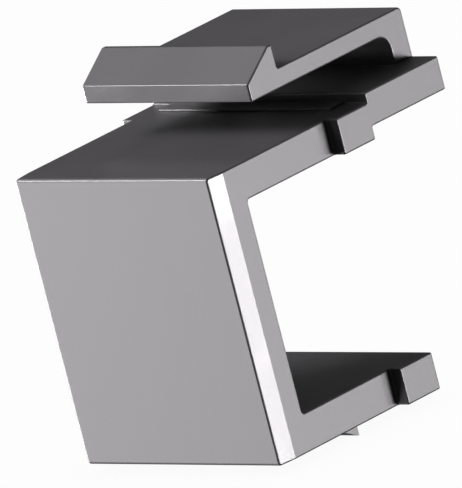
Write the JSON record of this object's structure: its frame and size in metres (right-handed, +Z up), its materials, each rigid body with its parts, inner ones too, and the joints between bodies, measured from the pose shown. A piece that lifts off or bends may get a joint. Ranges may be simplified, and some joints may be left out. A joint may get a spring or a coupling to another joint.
{
  "type": "keystone blank insert",
  "caption": "One-piece moulded blank for an unused keystone port: flat face, top leg and foot with stop wings, fixed nub, and a sprung latch with a ramped hook.",
  "frame": {"origin": "centre of the front face, which lies flush with the panel", "axes": "+X to the right across the face, +Y back into the port, +Z up towards the latch"},
  "size_m": [0.0164, 0.018, 0.0217],
  "materials": {
    "moulding": "satin moulded"
  },
  "bodies": {
    "root": {"blank_insert": "moulding"}
  },
  "joints": []
}
